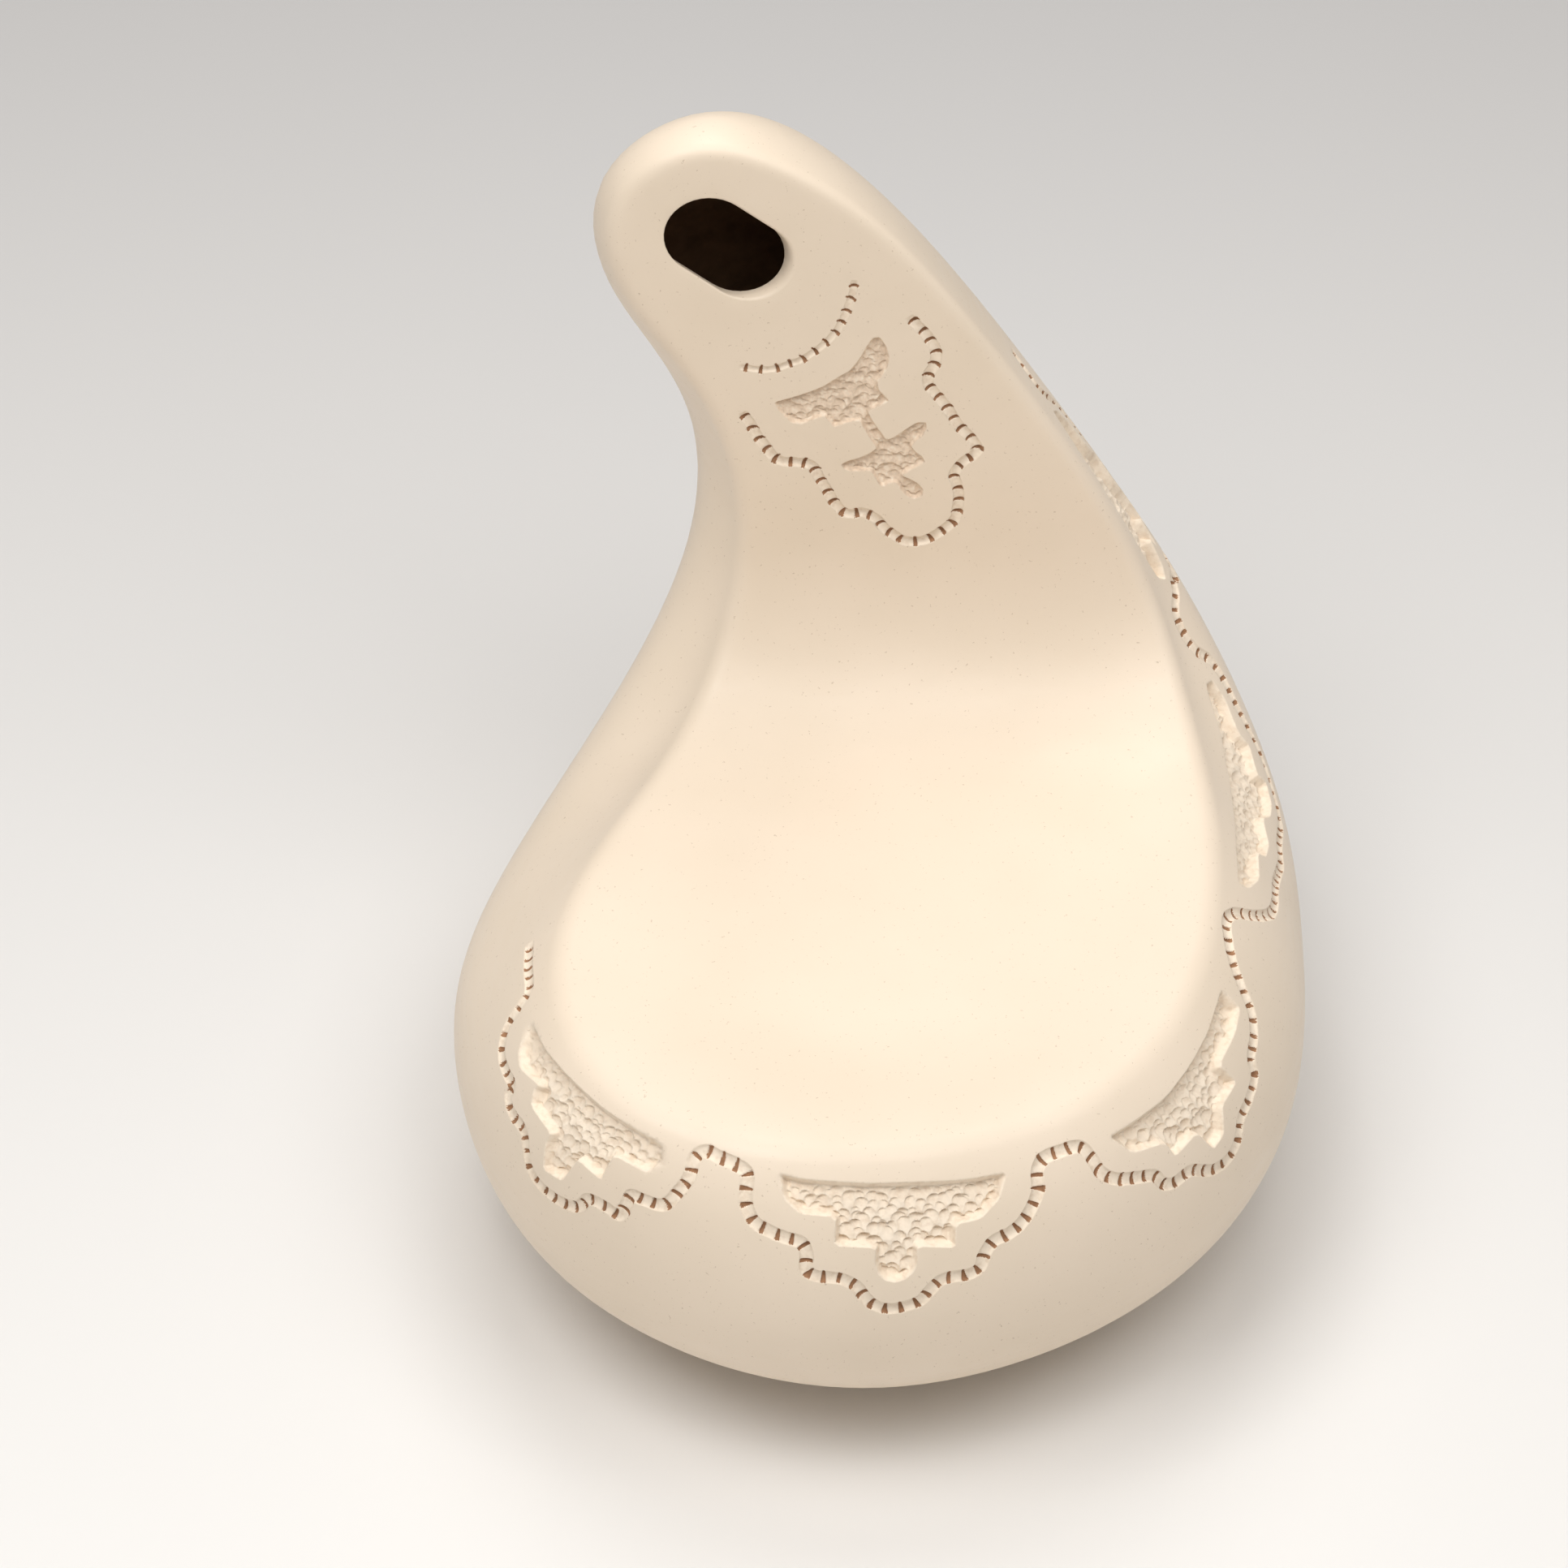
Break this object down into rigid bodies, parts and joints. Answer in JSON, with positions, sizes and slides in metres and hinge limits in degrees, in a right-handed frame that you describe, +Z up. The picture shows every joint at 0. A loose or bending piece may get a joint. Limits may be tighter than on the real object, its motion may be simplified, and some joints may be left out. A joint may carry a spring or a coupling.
{
  "type": "carved pottery vessel",
  "caption": "Hollow clay vessel: round bowl with a dished face that bends up into a leaning neck, a round head and one oblong mouth.",
  "frame": {"origin": "centre of the flat foot, on the table", "axes": "+Z up, -Y towards the front of the bowl, +X to the viewer's right, so the head leans towards -X"},
  "size_m": [0.1856, 0.2191, 0.2224],
  "materials": {
    "burnished_clay": "burnished, satin"
  },
  "bodies": {
    "root": {"vessel_body": "burnished_clay"}
  },
  "joints": []
}
